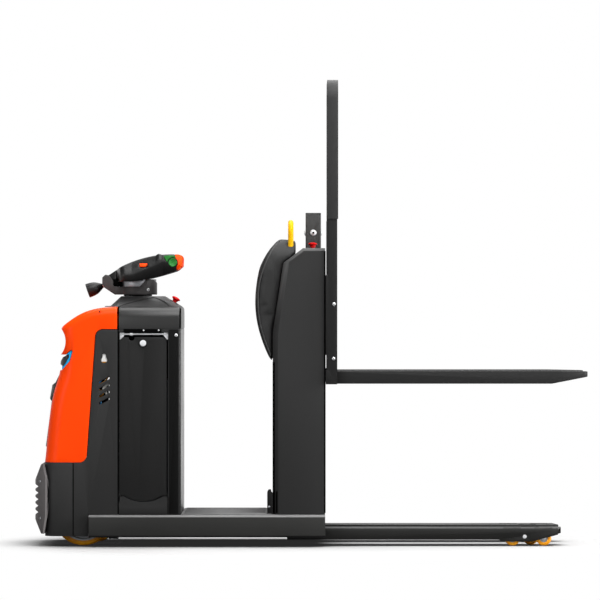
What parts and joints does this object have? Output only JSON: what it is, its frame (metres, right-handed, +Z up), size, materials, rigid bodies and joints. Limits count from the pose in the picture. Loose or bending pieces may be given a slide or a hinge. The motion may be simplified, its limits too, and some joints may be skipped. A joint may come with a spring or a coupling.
{
  "type": "order picker truck",
  "caption": "Low-level order picker with a standing platform between the battery box and a short mast, lifting forks on a backrest carriage, and a swivelling two-horn steering handle.",
  "frame": {"origin": "middle of the footprint on the floor", "axes": "+X towards the fork tips, -Y the driver's left seen from the platform facing the handle, +Z up"},
  "size_m": [2.556, 0.78, 2.156],
  "materials": {
    "frame_grey": "satin dark grey paint",
    "leg_grey": "satin dark grey paint",
    "cover_grey": "fine matte grain",
    "cover_metal": "satin dark grey paint",
    "orange": "satin moulded orange",
    "black": "matte black",
    "blue": "satin blue",
    "rubber": "ribbed rubber",
    "steel": "bare steel",
    "zinc": "bright zinc plated",
    "amber": "amber polyurethane",
    "red": "gloss red",
    "green": "satin green",
    "yellow": "yellow powder coat",
    "pad": "matte upholstery",
    "head_grey": "satin grey casting",
    "motor_black": "satin black paint"
  },
  "bodies": {
    "chassis": {"chassis_frame": "frame_grey", "platform_mat": "rubber", "leg_left": "leg_grey", "leg_right": "leg_grey", "front_skirt": "cover_grey", "front_bumper": "cover_grey", "front_hood": "orange", "accent_trim": "blue", "front_insert": "black", "side_panel_left": "cover_grey", "side_panel_right": "cover_grey", "pump_unit": "motor_black", "battery_frame": "cover_metal", "door_rod": "zinc", "battery_pack": "black", "console": "cover_grey", "mast_channels": "steel", "mast_cover": "cover_metal", "back_pad": "pad", "grab_handle": "yellow", "accessory_post": "frame_grey", "post_bolts": "zinc", "foot_bracket": "black", "cylinder_barrel": "motor_black", "chain_back_run": "steel"},
    "battery_door": {"battery_door": "cover_metal"},
    "door_latch": {"door_latch": "zinc"},
    "console_stop": {"console_stop": "red"},
    "mast_stop": {"mast_stop": "red"},
    "steering_head": {"steering_head": "head_grey", "steering_drum": "steel"},
    "handle": {"steering_handle": "black", "grip_caps": "orange"},
    "thumb_left": {"thumb_control_left": "green"},
    "thumb_right": {"thumb_control_right": "green"},
    "button_left": {"grip_button_left": "orange"},
    "button_right": {"grip_button_right": "orange"},
    "clamp_knob": {"clamp_knob": "black"},
    "drive_unit": {"drive_gearbox": "motor_black", "drive_motor": "motor_black"},
    "drive_wheel": {"drive_wheel": "amber"},
    "castor": {"castor_fork": "zinc"},
    "castor_wheel": {"castor_wheel": "amber"},
    "lift_rod": {"cylinder_rod": "steel", "chain_front_run": "steel"},
    "sheave": {"chain_sheave": "steel"},
    "carriage": {"carriage_frame": "frame_grey", "backrest_frame": "frame_grey", "fork_left": "leg_grey", "fork_right": "leg_grey"},
    "rollers_low": {"rollers_low": "steel"},
    "rollers_high": {"rollers_high": "steel"},
    "bogie_left": {"bogie_left": "zinc"},
    "bogie_right": {"bogie_right": "zinc"},
    "load_wheel_left_rear": {"load_wheel_left_rear": "amber"},
    "load_wheel_left_front": {"load_wheel_left_front": "amber"},
    "load_wheel_left_inner": {"load_wheel_left_inner": "amber"},
    "load_wheel_right_rear": {"load_wheel_right_rear": "amber"},
    "load_wheel_right_front": {"load_wheel_right_front": "amber"},
    "load_wheel_right_inner": {"load_wheel_right_inner": "amber"}
  },
  "joints": [
    {"name": "drive_steer", "type": "hinge", "parent": "chassis", "child": "drive_unit", "pos_m": [-1.058, -0.18, 0.4], "axis": [0, 0, 1], "range_deg": [-90, 90]},
    {"name": "drive_wheel_spin", "type": "hinge", "parent": "drive_unit", "child": "drive_wheel", "pos_m": [-1.058, -0.18, 0.14], "axis": [0, 1, 0], "continuous": true},
    {"name": "steering_turn", "type": "hinge", "parent": "chassis", "child": "steering_head", "pos_m": [-0.812, 0, 1.155], "axis": [0, 0, 1], "range_deg": [-90, 90]},
    {"name": "head_tilt", "type": "hinge", "parent": "steering_head", "child": "handle", "pos_m": [-0.954, 0, 1.234], "axis": [0, -1, 0], "range_deg": [0, 20]},
    {"name": "thumb_left_turn", "type": "hinge", "parent": "handle", "child": "thumb_left", "pos_m": [-0.648, -0.176, 1.312], "axis": [0, 1, 0], "range_deg": [-25, 25], "stiffness_Nm_per_rad": 0.3},
    {"name": "thumb_right_turn", "type": "hinge", "parent": "handle", "child": "thumb_right", "pos_m": [-0.648, 0.176, 1.312], "axis": [0, 1, 0], "range_deg": [-25, 25], "stiffness_Nm_per_rad": 0.3},
    {"name": "button_left_press", "type": "slide", "parent": "handle", "child": "button_left", "axis": [0, 1, 0], "range_m": [0, 0.0025], "stiffness_N_per_m": 1500},
    {"name": "button_right_press", "type": "slide", "parent": "handle", "child": "button_right", "axis": [0, -1, 0], "range_m": [0, 0.0025], "stiffness_N_per_m": 1500},
    {"name": "clamp_knob_turn", "type": "hinge", "parent": "steering_head", "child": "clamp_knob", "pos_m": [-0.962, 0, 1.209], "axis": [-0.9455, 0, -0.3256], "range_deg": [-180, 180]},
    {"name": "console_stop_press", "type": "slide", "parent": "chassis", "child": "console_stop", "axis": [-0.4848, 0, -0.8746], "range_m": [0, 0.006], "stiffness_N_per_m": 1500},
    {"name": "mast_stop_press", "type": "slide", "parent": "chassis", "child": "mast_stop", "axis": [0, 0, -1], "range_m": [0, 0.006], "stiffness_N_per_m": 1500},
    {"name": "door_tilt", "type": "hinge", "parent": "chassis", "child": "battery_door", "pos_m": [-0.7775, -0.3405, 0.24], "axis": [1, 0, 0], "range_deg": [0, 25]},
    {"name": "door_latch_turn", "type": "hinge", "parent": "battery_door", "child": "door_latch", "pos_m": [-0.7775, -0.343, 0.938], "axis": [0, -1, 0], "range_deg": [0, 90]},
    {"name": "castor_swivel", "type": "hinge", "parent": "chassis", "child": "castor", "pos_m": [-1.04, 0.2, 0.2], "axis": [0, 0, 1], "continuous": true},
    {"name": "castor_wheel_spin", "type": "hinge", "parent": "castor", "child": "castor_wheel", "pos_m": [-1.002, 0.2, 0.075], "axis": [0, 1, 0], "continuous": true},
    {"name": "cylinder_stroke", "type": "slide", "parent": "chassis", "child": "lift_rod", "axis": [0, 0, 1], "range_m": [-0.357, 0.043], "deforming": ["chain_back_run"]},
    {"name": "carriage_lift", "type": "slide", "parent": "lift_rod", "child": "carriage", "axis": [0, 0, 1], "range_m": [-0.357, 0.043], "deforming": ["chain_front_run"]},
    {"name": "sheave_spin", "type": "hinge", "parent": "lift_rod", "child": "sheave", "pos_m": [-0.005, 0, 1.046], "axis": [0, 1, 0], "range_deg": [-80, 480]},
    {"name": "rollers_low_spin", "type": "hinge", "parent": "carriage", "child": "rollers_low", "pos_m": [-0.005, 0, 0.884], "axis": [0, 1, 0], "range_deg": [-140, 1020]},
    {"name": "rollers_high_spin", "type": "hinge", "parent": "carriage", "child": "rollers_high", "pos_m": [-0.005, 0, 1.196], "axis": [0, 1, 0], "range_deg": [-1020, 140]},
    {"name": "bogie_left_rock", "type": "hinge", "parent": "chassis", "child": "bogie_left", "pos_m": [0.985, -0.19, 0.043], "axis": [0, 1, 0], "range_deg": [-4, 4]},
    {"name": "load_wheel_left_rear_spin", "type": "hinge", "parent": "bogie_left", "child": "load_wheel_left_rear", "pos_m": [0.929, -0.19, 0.035], "axis": [0, 1, 0], "continuous": true},
    {"name": "load_wheel_left_front_spin", "type": "hinge", "parent": "bogie_left", "child": "load_wheel_left_front", "pos_m": [1.074, -0.19, 0.035], "axis": [0, 1, 0], "continuous": true},
    {"name": "load_wheel_left_inner_spin", "type": "hinge", "parent": "bogie_left", "child": "load_wheel_left_inner", "pos_m": [1.016, -0.19, 0.035], "axis": [0, 1, 0], "continuous": true},
    {"name": "bogie_right_rock", "type": "hinge", "parent": "chassis", "child": "bogie_right", "pos_m": [0.985, 0.19, 0.043], "axis": [0, 1, 0], "range_deg": [-4, 4]},
    {"name": "load_wheel_right_rear_spin", "type": "hinge", "parent": "bogie_right", "child": "load_wheel_right_rear", "pos_m": [0.929, 0.19, 0.035], "axis": [0, 1, 0], "continuous": true},
    {"name": "load_wheel_right_front_spin", "type": "hinge", "parent": "bogie_right", "child": "load_wheel_right_front", "pos_m": [1.074, 0.19, 0.035], "axis": [0, 1, 0], "continuous": true},
    {"name": "load_wheel_right_inner_spin", "type": "hinge", "parent": "bogie_right", "child": "load_wheel_right_inner", "pos_m": [1.016, 0.19, 0.035], "axis": [0, 1, 0], "continuous": true}
  ],
  "couplings": [
    {"joint": "steering_turn", "follows": "drive_steer", "ratio": 1},
    {"joint": "carriage_lift", "follows": "cylinder_stroke", "ratio": 1},
    {"joint": "sheave_spin", "follows": "cylinder_stroke", "rad_per_m": -22.075},
    {"joint": "rollers_low_spin", "follows": "cylinder_stroke", "rad_per_m": -46.838},
    {"joint": "rollers_high_spin", "follows": "cylinder_stroke", "rad_per_m": 46.838}
  ]
}
